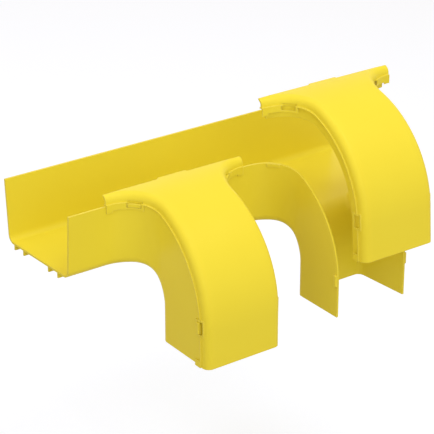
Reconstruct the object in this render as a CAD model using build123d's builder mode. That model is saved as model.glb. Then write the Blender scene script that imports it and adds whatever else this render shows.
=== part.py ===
from build123d import *
import math
import os

os.makedirs("parts", exist_ok=True)

# Sizes are millimetres. X runs along the trough with 0 midway between the two spouts, Y = 0 is the
# trough's middle with the spouts on the -Y side, and Z = 0 is the underside of the trough's floor.

# Trough: a six inch channel with walls that lean outward and rounded lower corners
LENGTH = 606.0
CHANNEL = 152.4
WALL = 3.0
HEIGHT = 97.0
LEAN = 0.064
CORNER = 12.6

# Spouts: flared out of the front wall, then bent down through a quarter turn
PITCH = 245.4
SPOUT = 119.4
SPREAD = 0.036
FLARE_RADIUS = 53.4
BEND = 53.2
BEND_START = 1.9
DROP = 53.0

# Rails under the floor, measured from the outer face of the nearer wall's foot
RAILS_FRONT = (28.0, 52.5)
RAILS_BACK = (15.4, 39.4)
RAIL_THICK = 2.6
RAIL_DEEP = 7.5
RAIL_ROOT = 1.0

# Snap catches below the rims: a nub low on each side of a spout, and a shallow one on each flare
NUB_UP = 58.2
NUB_TALL = 17.0
NUB_WIDE = 5.0
NUB_PROUD = 3.4
NUB_EDGE = 0.3
NUB_RAMP = 1.0
CATCH_PROUD = 1.4
CATCH_NEAR = 14.5
CATCH_FAR = 26.0

# Spout cover: skin and skirt set in from the spout's faces, wings at the rear, and a pull lip
SKIN = 3.0
SKIRT = 15.4
COVER_CORNER = 10.4
SET_IN = 0.6
WING = 5.8
COVER_REAR = 1.9
COVER_BELOW = 2.6
SEAT = 0.3
LIP_LONG = 50.0
LIP_PROUD = 4.0
LIP_THICK = 2.4
LIP_ROUND = 2.0

# Brim on the rim, and tongue that reaches down inside the spout's walls
BRIM_THICK = 1.6
BRIM_PROUD = 1.6
TONGUE = 2.4
TONGUE_GAP = 0.5
TONGUE_DEEP = 17.0
TONGUE_TOP = 3.0

# Straps that hang from the brim: hooks at its ends, an apron along its flares, and loops over the catches
STRAP_GAP = 0.4
HOOK_DEEP = 11.0
HOOK_LONG = 10.0
LOOP_BAR = 2.5
LOOP_CLEAR = 1.2
RECESS_RISE = 4.5
RECESS_DEEP = 1.5
SLOT_RISE = 5.6
FRAME_RISE = 7.4
FRAME_PROUD = 1.0

# How the right cover is held off its seat: shift in X, Y and Z, then turn about X, Y and Z
LIFT = (22.4, -15.6, 85.8)
LIFT_TURN = (-3.84, -0.5, -1.22)

# Worked out from the sizes above. A flare's radius is limited by the room between the two covers.
WIDTH = CHANNEL + 2 * WALL
FRONT = -WIDTH / 2
BACK = WIDTH / 2
FLARE = min(FLARE_RADIUS, (PITCH - SPOUT) / 2 - WING - SEAT)
COVER_HALF = SPOUT / 2 + FLARE + WING
BEND_LINE = FRONT - BEND_START
FOOT = -BEND - DROP
RIM = BEND + HEIGHT
LEAN_COS = math.cos(math.atan(LEAN))
SPREAD_COS = math.cos(math.atan(SPREAD))
CORE_BEVEL = (2 - math.sqrt(2)) * (COVER_CORNER - SKIN)
CENTRES = (-PITCH / 2, PITCH / 2)
SIDES = (-1, 1)

# How far forms that get trimmed or cut away run past what they trim
SPARE = 20.0
LOW = FOOT - 2 * SPARE
HIGH = HEIGHT + 3 * SPARE
REAR = BACK + 3 * SPARE
REACH = BEND_LINE - RIM - 3 * SPARE
TOUCH = 0.05


def spout_half(y, inset=0.0):
    """Half the width of a spout at depth y, between its side faces moved in by inset."""
    return SPOUT / 2 + SPREAD * (FRONT - y) - inset / SPREAD_COS


def plan_form(inset, half_length, centres):
    """Everything between the walls' outer faces moved in by inset, with flared spouts."""
    front = FRONT + inset / LEAN_COS
    back = BACK - inset / LEAN_COS
    with BuildPart() as form:
        with BuildSketch(Plane.YZ.offset(-half_length)):
            with BuildLine():
                Polyline(
                    (front - LEAN * LOW, LOW),
                    (back + LEAN * LOW, LOW),
                    (back + LEAN * HIGH, HIGH),
                    (front - LEAN * HIGH, HIGH),
                    close=True,
                )
            make_face()
        extrude(amount=2 * half_length)
        for centre in centres:
            with BuildSketch(Plane.XY.offset(LOW)):
                with BuildLine():
                    Polyline(
                        (centre - spout_half(0, inset), 0),
                        (centre + spout_half(0, inset), 0),
                        (centre + spout_half(REACH, inset), REACH),
                        (centre - spout_half(REACH, inset), REACH),
                        close=True,
                    )
                make_face()
            extrude(amount=HIGH - LOW)
        upright = form.edges().filter_by(lambda e: abs(e.tangent_at(0.5).Z) > 0.9)
        inner = upright.filter_by(lambda e: abs((e @ 0.5).X) < half_length - TOUCH)
        flares = inner.filter_by(lambda e: REACH + TOUCH < (e @ 0.5).Y < 0)
        fillet(flares, FLARE + inset)
    return form.part


def side_band(inner, outer, foot, rear, half_length):
    """The space between two radii about the bend's axis, straight behind it and below it."""
    axis = (BEND_LINE, -BEND)
    with BuildPart() as band:
        with BuildSketch(Plane.YZ.offset(-half_length)):
            with BuildLine():
                Line((rear, inner - BEND), (BEND_LINE, inner - BEND))
                CenterArc(axis, inner, 90, 90)
                Line((BEND_LINE - inner, -BEND), (BEND_LINE - inner, foot))
                Line((BEND_LINE - inner, foot), (BEND_LINE - outer, foot))
                Line((BEND_LINE - outer, foot), (BEND_LINE - outer, -BEND))
                CenterArc(axis, outer, 90, 90)
                Line((BEND_LINE, outer - BEND), (rear, outer - BEND))
                Line((rear, outer - BEND), (rear, inner - BEND))
            make_face()
        extrude(amount=2 * half_length)
    return band.part


def height_off(point, radius):
    """How far a point lies from the surface at that radius about the bend."""
    if point.Y >= BEND_LINE:
        return abs(point.Z - (radius - BEND))
    if point.Z >= -BEND:
        return abs(math.hypot(point.Y - BEND_LINE, point.Z + BEND) - radius)
    return abs(BEND_LINE - point.Y - radius)


def side_edges(form, radius, half_length, rear, foot):
    """The long side edges of a form at that radius about the bend, without those at its cut ends."""
    chain = []
    for edge in form.edges():
        middle = edge @ 0.5
        at_end = abs(middle.X) > half_length - TOUCH
        at_cut = middle.Y > rear - TOUCH or middle.Z < foot + TOUCH
        crosswise = abs(edge.tangent_at(0.5).X) > 0.99 and middle.Y < BEND_LINE + TOUCH
        if height_off(middle, radius) < TOUCH and not (at_end or at_cut or crosswise):
            chain.append(edge)
    return chain


def trough_form(inset, half_length, outer, foot):
    """The trough and spouts filled in, out to a radius about the bend, with rounded lower edges."""
    inner = BEND + inset
    form = plan_form(inset, half_length, CENTRES) & side_band(inner, outer, foot, REAR, half_length)
    return form.fillet(CORNER - inset, side_edges(form, inner, half_length, REAR, foot))


def rim_ring(outer_inset, inner_inset, low, high, foot, rear, half_length, centres):
    """A wall between two insets of the plan, in a band of radii about the bend."""
    outer = plan_form(outer_inset, half_length, centres)
    inner = plan_form(inner_inset, half_length + SPARE, centres)
    return (outer - inner) & side_band(low, high, foot, rear, half_length)


def zone(x_low, x_high, y_low, y_high, z_low, z_high):
    """A block between two values of each axis, for keeping or cutting what lies inside it."""
    with BuildPart() as block:
        with BuildSketch(Plane.XY.offset(z_low)):
            with Locations(((x_low + x_high) / 2, (y_low + y_high) / 2)):
                Rectangle(x_high - x_low, y_high - y_low)
        extrude(amount=z_high - z_low)
    return block.part


def flare_zone(spare, half_length):
    """The stretch of the flares that holds the shallow catches, longer by spare at each end."""
    return zone(-half_length, half_length, FRONT - CATCH_FAR - spare, FRONT - CATCH_NEAR + spare, LOW, HIGH)


def nub_zone(spare, half_length):
    """The stretch of the spouts' sides that holds the nubs, longer by spare at each end."""
    middle = FOOT + NUB_UP
    reach = NUB_TALL / 2 + spare
    return zone(-half_length, half_length, REACH, 0, middle - reach, middle + reach)


def side_block(side, back, front, inside, outside):
    """A block down one side of a spout, between two radii and two distances from the side's face."""
    near = BEND_LINE - back
    far = BEND_LINE - front
    with BuildPart() as block:
        with BuildSketch(Plane.XY.offset(LOW)):
            with BuildLine():
                Polyline(
                    (side * (spout_half(near) + inside), near),
                    (side * (spout_half(near) + outside), near),
                    (side * (spout_half(far) + outside), far),
                    (side * (spout_half(far) + inside), far),
                    close=True,
                )
            make_face()
        extrude(amount=HIGH - LOW)
    return block.part


def latch_nub(side):
    """The nub on a spout's side: a short ramp towards the rim and a square back."""
    front = BEND_LINE - RIM + NUB_EDGE
    back = front + NUB_WIDE
    face = spout_half(front)
    with BuildPart() as nub:
        with BuildSketch(Plane.XY.offset(FOOT + NUB_UP - NUB_TALL / 2)):
            with BuildLine():
                Polyline(
                    (side * (face - WALL / 2), front),
                    (side * (face + CATCH_PROUD), front),
                    (side * (face + NUB_PROUD), front + NUB_RAMP),
                    (side * (face + NUB_PROUD), back),
                    (side * (face - WALL / 2), back),
                    close=True,
                )
            make_face()
        extrude(amount=NUB_TALL)
    return nub.part


def cover_shell(foot, seat):
    """The cover's skin and skirt, rounded outside and bevelled inside, open at its ends."""
    top = RIM + SKIRT
    core_half = COVER_HALF + SPARE
    core_foot = foot - SPARE
    outer = plan_form(SET_IN, COVER_HALF, (0,)) & side_band(seat, top, foot, BACK, COVER_HALF)
    outer = outer.fillet(COVER_CORNER, side_edges(outer, top, COVER_HALF, BACK, foot))
    core = side_band(seat - SPARE, top - SKIN, core_foot, BACK, core_half)
    core = core & plan_form(SET_IN + SKIN, core_half, (0,))
    core = core.chamfer(CORE_BEVEL, None, side_edges(core, top - SKIN, core_half, BACK, core_foot))
    with BuildPart() as shell:
        add(outer & side_band(seat, top, foot, FRONT + COVER_REAR, COVER_HALF))
        add(core, mode=Mode.SUBTRACT)
    return shell.part


def straps(loop_back, foot, seat, rear):
    """The hooks, apron and loops that hang from the brim outside the spout's walls."""
    brim_top = seat + BRIM_THICK
    hook_back = RIM - HOOK_DEEP
    apron = rim_ring(-BRIM_PROUD, -STRAP_GAP, hook_back, brim_top, foot, rear, COVER_HALF, (0,))
    loop_room = side_band(loop_back, brim_top, foot, rear, COVER_HALF)
    loop_end = LOOP_CLEAR + LOOP_BAR
    flare_front = FRONT - CATCH_FAR - loop_end
    with BuildPart() as hung:
        for side in SIDES:
            wing = side * (COVER_HALF - HOOK_LONG / 2)
            add(apron & zone(wing - HOOK_LONG / 2, wing + HOOK_LONG / 2, REACH, rear, LOW, HIGH))
        add(apron & zone(-COVER_HALF, COVER_HALF, REACH, rear, foot, foot + HOOK_LONG))
        add(apron & loop_room & zone(-COVER_HALF, COVER_HALF, flare_front, rear, LOW, HIGH))
        add(apron & loop_room & nub_zone(loop_end, COVER_HALF))
    return hung.part


def cover_form():
    """One spout cover as it sits on a spout centred on X = 0."""
    foot = FOOT - COVER_BELOW
    seat = RIM + SEAT
    rear = FRONT + COVER_REAR
    brim_top = seat + BRIM_THICK
    inner_face = SET_IN + SKIN
    tongue_face = WALL + TONGUE_GAP
    tongue_back = tongue_face + TONGUE
    tongue_half = COVER_HALF - HOOK_LONG
    slot_back = RIM - NUB_EDGE - NUB_WIDE - STRAP_GAP
    past_brim = BRIM_PROUD + SPARE
    tongue_low = RIM - TONGUE_DEEP
    tongue_top = seat + TONGUE_TOP
    recess_face = SET_IN + RECESS_DEEP
    tongue = rim_ring(tongue_face, tongue_back, tongue_low, tongue_top, foot, rear, COVER_HALF, (0,))
    with BuildPart() as cover:
        add(cover_shell(foot, seat))
        add(rim_ring(-BRIM_PROUD, tongue_back, seat, brim_top, foot, rear, COVER_HALF, (0,)))
        add(straps(slot_back - LOOP_BAR, foot, seat, rear))
        add(tongue & zone(-tongue_half, tongue_half, REACH, rear, LOW, HIGH))
        recess = rim_ring(
            -BRIM_PROUD - WALL, recess_face, slot_back, RIM + RECESS_RISE, foot, rear, COVER_HALF, (0,)
        )
        add(recess & flare_zone(LOOP_CLEAR, COVER_HALF), mode=Mode.SUBTRACT)
        for side in SIDES:
            frame = side_block(side, seat, RIM + FRAME_RISE, -inner_face + SKIN / 2, FRAME_PROUD - SET_IN)
            add(frame & nub_zone(LOOP_CLEAR + LOOP_BAR, COVER_HALF))
            opening = side_block(side, slot_back, RIM + SLOT_RISE, -tongue_face, past_brim)
            add(opening & nub_zone(LOOP_CLEAR, COVER_HALF), mode=Mode.SUBTRACT)
            window = side_block(side, brim_top, RIM + SLOT_RISE, -tongue_back, past_brim)
            add(window & nub_zone(LOOP_CLEAR, COVER_HALF), mode=Mode.SUBTRACT)
        with BuildSketch(Plane.XY.offset(HEIGHT + SKIRT - LIP_THICK)):
            with Locations((0, rear)):
                RectangleRounded(LIP_LONG, 2 * LIP_PROUD, LIP_ROUND)
        extrude(amount=LIP_THICK)
    return cover.part


def lifted(shape):
    """The cover moved off its seat on the right spout, turned about that spout's front wall."""
    turn_x = Location((0, 0, 0), (LIFT_TURN[0], 0, 0))
    turn_y = Location((0, 0, 0), (0, LIFT_TURN[1], 0))
    turn_z = Location((0, 0, 0), (0, 0, LIFT_TURN[2]))
    place = Location((CENTRES[1] + LIFT[0], FRONT + LIFT[1], LIFT[2]))
    return shape.moved(place * turn_z * turn_y * turn_x * Location((0, -FRONT, 0)))


with BuildPart() as trough_body:
    add(trough_form(0, LENGTH / 2, RIM, FOOT))
    add(trough_form(WALL, LENGTH / 2 + SPARE, RIM + 2 * SPARE, FOOT - SPARE), mode=Mode.SUBTRACT)
    rails = [FRONT + rail for rail in RAILS_FRONT] + [BACK - rail for rail in RAILS_BACK]
    with BuildSketch(Plane.YZ.offset(-LENGTH / 2)):
        with Locations(*[(rail, (RAIL_ROOT - RAIL_DEEP) / 2) for rail in rails]):
            Rectangle(RAIL_THICK, RAIL_DEEP + RAIL_ROOT)
    extrude(amount=LENGTH)
    for centre in CENTRES:
        for side in SIDES:
            add(latch_nub(side).moved(Location((centre, 0, 0))))
    catch_low = RIM - NUB_EDGE - NUB_WIDE
    catches = rim_ring(
        -CATCH_PROUD, WALL / 2, catch_low, RIM - NUB_EDGE, FOOT, 0, LENGTH / 2 - SPARE, CENTRES
    )
    add(catches & flare_zone(0, LENGTH / 2))
trough_body.part.label = "trough_body"
export_step(trough_body.part, "parts/trough_body.step")

cover = cover_form()

with BuildPart() as cover_left:
    add(cover.moved(Location((CENTRES[0], 0, 0))))
cover_left.part.label = "cover_left"
export_step(cover_left.part, "parts/cover_left.step")

with BuildPart() as cover_right:
    add(lifted(cover))
cover_right.part.label = "cover_right"
export_step(cover_right.part, "parts/cover_right.step")
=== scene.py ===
"""A yellow raceway downspout fitting with two spout covers, one seated and one lifted off."""

import logging
import math
from dataclasses import dataclass, field
from enum import Enum

import bpy
from mathutils import Matrix, Vector


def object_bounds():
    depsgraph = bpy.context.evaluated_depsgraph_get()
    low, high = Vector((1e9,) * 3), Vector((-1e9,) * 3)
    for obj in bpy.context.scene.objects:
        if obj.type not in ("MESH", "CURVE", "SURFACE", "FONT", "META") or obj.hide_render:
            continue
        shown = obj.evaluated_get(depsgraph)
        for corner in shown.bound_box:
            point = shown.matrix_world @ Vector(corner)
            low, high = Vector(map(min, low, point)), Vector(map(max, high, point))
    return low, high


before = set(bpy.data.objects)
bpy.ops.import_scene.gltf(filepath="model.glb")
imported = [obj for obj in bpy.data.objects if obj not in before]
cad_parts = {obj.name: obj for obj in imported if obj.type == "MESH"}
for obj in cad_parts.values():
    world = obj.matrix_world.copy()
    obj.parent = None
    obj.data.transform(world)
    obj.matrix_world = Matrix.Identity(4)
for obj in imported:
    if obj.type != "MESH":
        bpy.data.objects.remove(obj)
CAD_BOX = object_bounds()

log = logging.getLogger("downspout")


class Field:
    """A number, colour or vector inside a node tree, which Python's operators work on."""

    def __init__(self, graph: "Graph", socket: bpy.types.NodeSocket) -> None:
        """Wrap one output socket.

        Args:
            graph: The graph that the socket's node is in.
            socket: The output socket.
        """
        self.graph = graph
        self.socket = socket

    def maths(self, operation: str, first: "Field | float", second: "Field | float") -> "Field":
        """Add one Math node.

        Args:
            operation: The Math node's operation.
            first: The first value or link.
            second: The second value or link.

        Returns:
            The node's result.
        """
        return self.graph.node("ShaderNodeMath", {"operation": operation}, {0: first, 1: second})

    def __add__(self, other: "Field | float") -> "Field":
        """This plus other."""
        return self.maths("ADD", self, other)

    def __radd__(self, other: float) -> "Field":
        """Other plus this."""
        return self.maths("ADD", other, self)

    def __sub__(self, other: "Field | float") -> "Field":
        """This minus other."""
        return self.maths("SUBTRACT", self, other)

    def __rsub__(self, other: float) -> "Field":
        """Other minus this."""
        return self.maths("SUBTRACT", other, self)

    def __mul__(self, other: "Field | float") -> "Field":
        """This times other."""
        return self.maths("MULTIPLY", self, other)

    def __rmul__(self, other: float) -> "Field":
        """Other times this."""
        return self.maths("MULTIPLY", other, self)

    def __or__(self, other: "Field") -> "Field":
        """The larger of this and other, so that either of two masks counts."""
        return self.maths("MAXIMUM", self, other)


class Graph:
    """The node tree of a material or of the world."""

    def __init__(self, holder: "bpy.types.Material | bpy.types.World") -> None:
        """Start with an empty tree.

        Args:
            holder: The material or world that the tree belongs to.
        """
        holder.use_nodes = True
        self.holder = holder
        self.tree = holder.node_tree
        self.tree.nodes.clear()

    def node(self, kind: str, settings: dict, inputs: dict, output: "int | str" = 0) -> Field:
        """Add one node.

        Args:
            kind: The node's type name.
            settings: Properties that are set first, such as operation.
            inputs: Values or fields by socket name or number.
            output: The output socket's name or number.

        Returns:
            The chosen output.
        """
        made = self.tree.nodes.new(kind)
        for name, value in settings.items():
            setattr(made, name, value)
        for key, value in inputs.items():
            if isinstance(value, Field):
                self.tree.links.new(value.socket, made.inputs[key])
            else:
                made.inputs[key].default_value = value
        return Field(self, made.outputs[output])

    def mix(self, amount: "Field | float", first: "Field | tuple", second: "Field | tuple") -> Field:
        """Mix two colours.

        Args:
            amount: 0 for the first, 1 for the second.
            first: The first colour.
            second: The second colour.

        Returns:
            The mixed colour.
        """
        inputs = {"Factor": amount, 6: first, 7: second}
        return self.node("ShaderNodeMix", {"data_type": "RGBA"}, inputs, 2)

    def place(self, stretch: tuple, shift: tuple) -> Field:
        """The point on the surface in metres, stretched and shifted along each axis.

        Args:
            stretch: Factors along X, Y and Z.
            shift: Distances along X, Y and Z.

        Returns:
            The moved point.
        """
        point = self.node("ShaderNodeTexCoord", {}, {}, "Object")
        inputs = {0: point, 1: stretch, 2: shift}
        return self.node("ShaderNodeVectorMath", {"operation": "MULTIPLY_ADD"}, inputs)

    def noise(self, size: float, detail: float, stretch: tuple = (1, 1, 1), shift: float = 0.0) -> Field:
        """Smooth noise whose bumps are about a size apart.

        Args:
            size: The spacing in metres.
            detail: How many finer layers it has.
            stretch: Factors on the point along X, Y and Z.
            shift: How far the pattern is moved, so that mouldings differ.

        Returns:
            The noise, from 0 to 1.
        """
        point = self.place(stretch, (shift, shift, shift))
        return self.node("ShaderNodeTexNoise", {}, {"Vector": point, "Scale": 1.0 / size, "Detail": detail})

    def ramp(self, value: Field, low: float, high: float) -> Field:
        """A value stretched smoothly so that low becomes 0 and high becomes 1.

        Args:
            value: The value.
            low: What becomes 0.
            high: What becomes 1.

        Returns:
            The stretched value.
        """
        settings = {"interpolation_type": "SMOOTHSTEP"}
        return self.node("ShaderNodeMapRange", settings, {"Value": value, "From Min": low, "From Max": high})

    def ray(self, *kinds: str) -> Field:
        """1 where the light ray is any of the named kinds.

        Args:
            kinds: Names of Light Path's outputs.

        Returns:
            The mask.
        """
        found = [self.node("ShaderNodeLightPath", {}, {}, kind) for kind in kinds]
        mask = found[0]
        for other in found[1:]:
            mask = mask | other
        return mask

    def link_output(self, kind: str, shader: Field) -> None:
        """Add an output node, which has no outputs of its own, and link a shader to it.

        Args:
            kind: The output node's type name.
            shader: The shader.
        """
        made = self.tree.nodes.new(kind)
        self.tree.links.new(shader.socket, made.inputs["Surface"])


@dataclass(frozen=True)
class MouldedPlastic:
    """Injection-moulded yellow plastic with a satin sheen.

    The moulding is a little deeper in colour where it cooled slowly, and carries the fine texture of the
    tool and faint drag lines along the draw. Its edges are painted paler: a painted highlight for the light
    that rims catch.
    """

    name: str
    shift: float = 0.0
    pale: tuple = (0.895, 0.815, 0.064, 1.0)
    deep: tuple = (0.87, 0.755, 0.050, 1.0)
    # Painted highlight: the paler colour that edges are mixed towards.
    edge: tuple = (0.97, 0.90, 0.22, 1.0)
    roughness: float = 0.35
    shine: float = 0.09
    cloud_size: float = 0.16
    cloud_tone: float = 0.80
    cloud_gloss: float = 0.10
    grain_size: float = 0.0011
    grain_tone: float = 0.14
    grain_gloss: float = 0.05
    grain_height: float = 0.00002
    drag_size: float = 0.006
    drag_stretch: tuple = (1.0, 1.0, 0.04)
    drag_tone: float = 0.06
    drag_gloss: float = 0.05
    drag_height: float = 0.000005
    sink_size: float = 0.05
    sink_height: float = 0.0003
    noise_middle: float = 0.5
    relief: float = 0.6
    edge_radius: float = 0.0010
    edge_samples: int = 4
    edge_starts: float = 0.01
    edge_full: float = 0.14
    edge_share: float = 0.8

    def material(self) -> bpy.types.Material:
        """Build the material.

        Returns:
            The finished material.
        """
        graph = Graph(bpy.data.materials.new(self.name))
        clouds = graph.noise(self.cloud_size, detail=3.0, shift=self.shift)
        grain = graph.noise(self.grain_size, detail=2.0)
        drag = graph.noise(self.drag_size, detail=2.0, stretch=self.drag_stretch, shift=self.shift)
        sink = graph.noise(self.sink_size, detail=1.0, shift=self.shift)
        settings = {"samples": self.edge_samples}
        rounded = graph.node("ShaderNodeBevel", settings, {"Radius": self.edge_radius})
        plain = graph.node("ShaderNodeNewGeometry", {}, {}, "Normal")
        settings = {"operation": "DOT_PRODUCT"}
        alike = graph.node("ShaderNodeVectorMath", settings, {0: rounded, 1: plain}, "Value")
        # Painted highlight: where the bevelled normal turns from the surface's own normal, the colour is
        # mixed towards the paler edge colour.
        painted_edge_highlight = graph.ramp(1.0 - alike, self.edge_starts, self.edge_full)
        tone = clouds * self.cloud_tone + grain * self.grain_tone + drag * self.drag_tone
        body = graph.mix(tone, self.pale, self.deep)
        colour = graph.mix(painted_edge_highlight * self.edge_share, body, self.edge)
        middle = self.noise_middle
        rough = self.roughness + (clouds - middle) * self.cloud_gloss
        rough = rough + (drag - middle) * self.drag_gloss
        rough = rough + (grain - middle) * self.grain_gloss
        height = grain * self.grain_height + drag * self.drag_height + sink * self.sink_height
        inputs = {"Strength": self.relief, "Distance": 1.0, "Height": height, "Normal": rounded}
        relief = graph.node("ShaderNodeBump", {}, inputs)
        inputs = {"Base Color": colour, "Roughness": rough, "Normal": relief}
        inputs["Specular IOR Level"] = self.shine
        plastic = graph.node("ShaderNodeBsdfPrincipled", {}, inputs)
        graph.link_output("ShaderNodeOutputMaterial", plastic)
        return graph.holder


@dataclass(frozen=True)
class Paper:
    """The floor, white to the camera and in reflections, and a mid grey card to other light."""

    name: str = "floor_paper"
    seen: tuple = (0.40, 0.47, 0.59, 1.0)
    fibre: tuple = (0.385, 0.455, 0.57, 1.0)
    card: tuple = (0.50, 0.50, 0.50, 1.0)
    white: tuple = (1.0, 1.0, 1.0, 1.0)
    lift: float = 0.665
    fibre_size: float = 0.004

    def material(self) -> bpy.types.Material:
        """Build the material.

        Returns:
            The finished material.
        """
        graph = Graph(bpy.data.materials.new(self.name))
        fibres = graph.noise(self.fibre_size, detail=3.0)
        sheet = graph.mix(fibres, self.seen, self.fibre)
        paper = graph.node("ShaderNodeBsdfDiffuse", {}, {"Color": sheet})
        card = graph.node("ShaderNodeBsdfDiffuse", {}, {"Color": self.card})
        glow = graph.node("ShaderNodeEmission", {}, {"Color": self.white, "Strength": self.lift})
        bright = graph.node("ShaderNodeAddShader", {}, {0: paper, 1: glow})
        direct = graph.ray("Is Camera Ray", "Is Glossy Ray", "Is Transmission Ray")
        mixed = graph.node("ShaderNodeMixShader", {}, {0: direct, 1: card, 2: bright})
        graph.link_output("ShaderNodeOutputMaterial", mixed)
        return graph.holder


class Light(Enum):
    """The studio's soft boxes: name, energy, width, height and where each hangs."""

    KEY = ("key_box", 21.0, 1.4, 1.2, (0.6, -1.3, 2.6))
    STRIP = ("strip_box", 10.0, 4.0, 0.16, (-1.3, 0.0, 2.3))
    OVER = ("over_box", 11.5, 1.8, 1.4, (0.2, 0.3, 2.8))
    FILL = ("fill_box", 10.5, 2.0, 1.4, (-0.3, -2.6, 1.6))
    LOW = ("low_box", 9.5, 2.4, 1.2, (-0.1, -2.8, 0.5))
    SIDE = ("side_box", 11.0, 2.0, 1.6, (-2.8, -0.8, 0.5))
    REAR = ("rear_box", 9.0, 2.4, 1.4, (0.5, 2.4, 1.8))


@dataclass
class Studio:
    """World, floor and lamps."""

    floor_drop: float = 0.30
    floor_half: float = 6.0
    glow: float = 0.52
    tint: tuple = (1.0, 0.74, 0.54, 1.0)
    white: tuple = (1.0, 1.0, 1.0, 1.0)
    aim: Vector = field(default_factory=lambda: Vector((0.0, -0.05, 0.02)))

    def build(self) -> None:
        """Make the world, the floor and each lamp."""
        self.make_world()
        self.make_floor()
        for light in Light:
            self.make_lamp(*light.value)

    def make_world(self) -> None:
        """White for the camera and for reflections, and a plain soft light otherwise."""
        graph = Graph(bpy.data.worlds.new("studio_world"))
        bpy.context.scene.world = graph.holder
        soft = graph.node("ShaderNodeBackground", {}, {"Color": self.tint, "Strength": self.glow})
        plain = graph.node("ShaderNodeBackground", {}, {"Color": self.white, "Strength": 1.0})
        direct = graph.ray("Is Camera Ray", "Is Glossy Ray", "Is Transmission Ray")
        mixed = graph.node("ShaderNodeMixShader", {}, {0: direct, 1: soft, 2: plain})
        graph.link_output("ShaderNodeOutputWorld", mixed)

    def make_floor(self) -> None:
        """A plain wide floor below the fitting."""
        low = CAD_BOX[0].z - self.floor_drop
        half = self.floor_half
        mesh = bpy.data.meshes.new("floor")
        corners = [(-half, -half, low), (half, -half, low), (half, half, low), (-half, half, low)]
        mesh.from_pydata(corners, [], [(0, 1, 2, 3)])
        floor = bpy.data.objects.new("floor", mesh)
        bpy.context.scene.collection.objects.link(floor)
        floor.data.materials.append(Paper().material())

    def make_lamp(self, name: str, energy: float, width: float, height: float, place: tuple) -> None:
        """Hang one soft box that faces the fitting.

        Args:
            name: The lamp's name.
            energy: Its power in watts.
            width: Its width in metres.
            height: Its height in metres.
            place: Where it hangs.
        """
        data = bpy.data.lights.new(name, "AREA")
        data.shape = "RECTANGLE"
        data.size = width
        data.size_y = height
        data.energy = energy
        lamp = bpy.data.objects.new(name, data)
        bpy.context.scene.collection.objects.link(lamp)
        lamp.location = place
        lamp.rotation_mode = "QUATERNION"
        lamp.rotation_quaternion = (self.aim - Vector(place)).to_track_quat("-Z", "Y")


@dataclass(frozen=True)
class PhotoView:
    """The camera at the photograph's angle."""

    azimuth: float = -36.70
    elevation: float = 23.99
    roll: float = -0.02
    distance: float = 2.810
    across: float = -0.0367
    above: float = 0.0138
    focal_px: float = 1906.4
    frame_px: float = 434.0
    sensor_mm: float = 36.0
    nearest: float = 0.05
    farthest: float = 50.0
    centre: tuple = (0.0, -0.0792, 0.0)

    def build(self) -> None:
        """Make the camera and make it the scene's own."""
        turn = math.radians(self.azimuth)
        rise = math.radians(self.elevation)
        lean = math.radians(self.roll)
        back = Vector((math.sin(turn) * math.cos(rise), -math.cos(turn) * math.cos(rise), math.sin(rise)))
        level = Vector((math.cos(turn), math.sin(turn), 0.0))
        upright = back.cross(level)
        right = level * math.cos(lean) + upright * math.sin(lean)
        above = upright * math.cos(lean) - level * math.sin(lean)
        data = bpy.data.cameras.new("photo_camera")
        data.sensor_width = self.sensor_mm
        data.lens = self.focal_px / self.frame_px * self.sensor_mm
        data.clip_start = self.nearest
        data.clip_end = self.farthest
        camera = bpy.data.objects.new("photo_camera", data)
        bpy.context.scene.collection.objects.link(camera)
        place = Vector(self.centre) + back * self.distance + right * self.across + above * self.above
        turned = Matrix((right, above, back)).transposed().to_4x4()
        camera.matrix_world = Matrix.Translation(place) @ turned
        bpy.context.scene.camera = camera


@dataclass
class Fitting:
    """The trough body and its covers, which keep their modelled shapes."""

    shifts: dict = field(default_factory=lambda: {"trough_body": 0.0, "cover_left": 1.3, "cover_right": 2.7})

    def build(self) -> None:
        """Dress each moulding in its plastic."""
        for name, shift in self.shifts.items():
            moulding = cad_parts[name]
            moulding.data.materials.clear()
            moulding.data.materials.append(MouldedPlastic(name + "_plastic", shift).material())
            log.info("%s: dressed, %d faces", name, len(moulding.data.polygons))


def main() -> None:
    """Build the camera, the studio and the fitting in order."""
    logging.basicConfig(level=logging.INFO)
    bpy.context.scene.view_settings.view_transform = "Standard"
    PhotoView().build()
    Studio().build()
    Fitting().build()


if __name__ == "__main__":
    main()
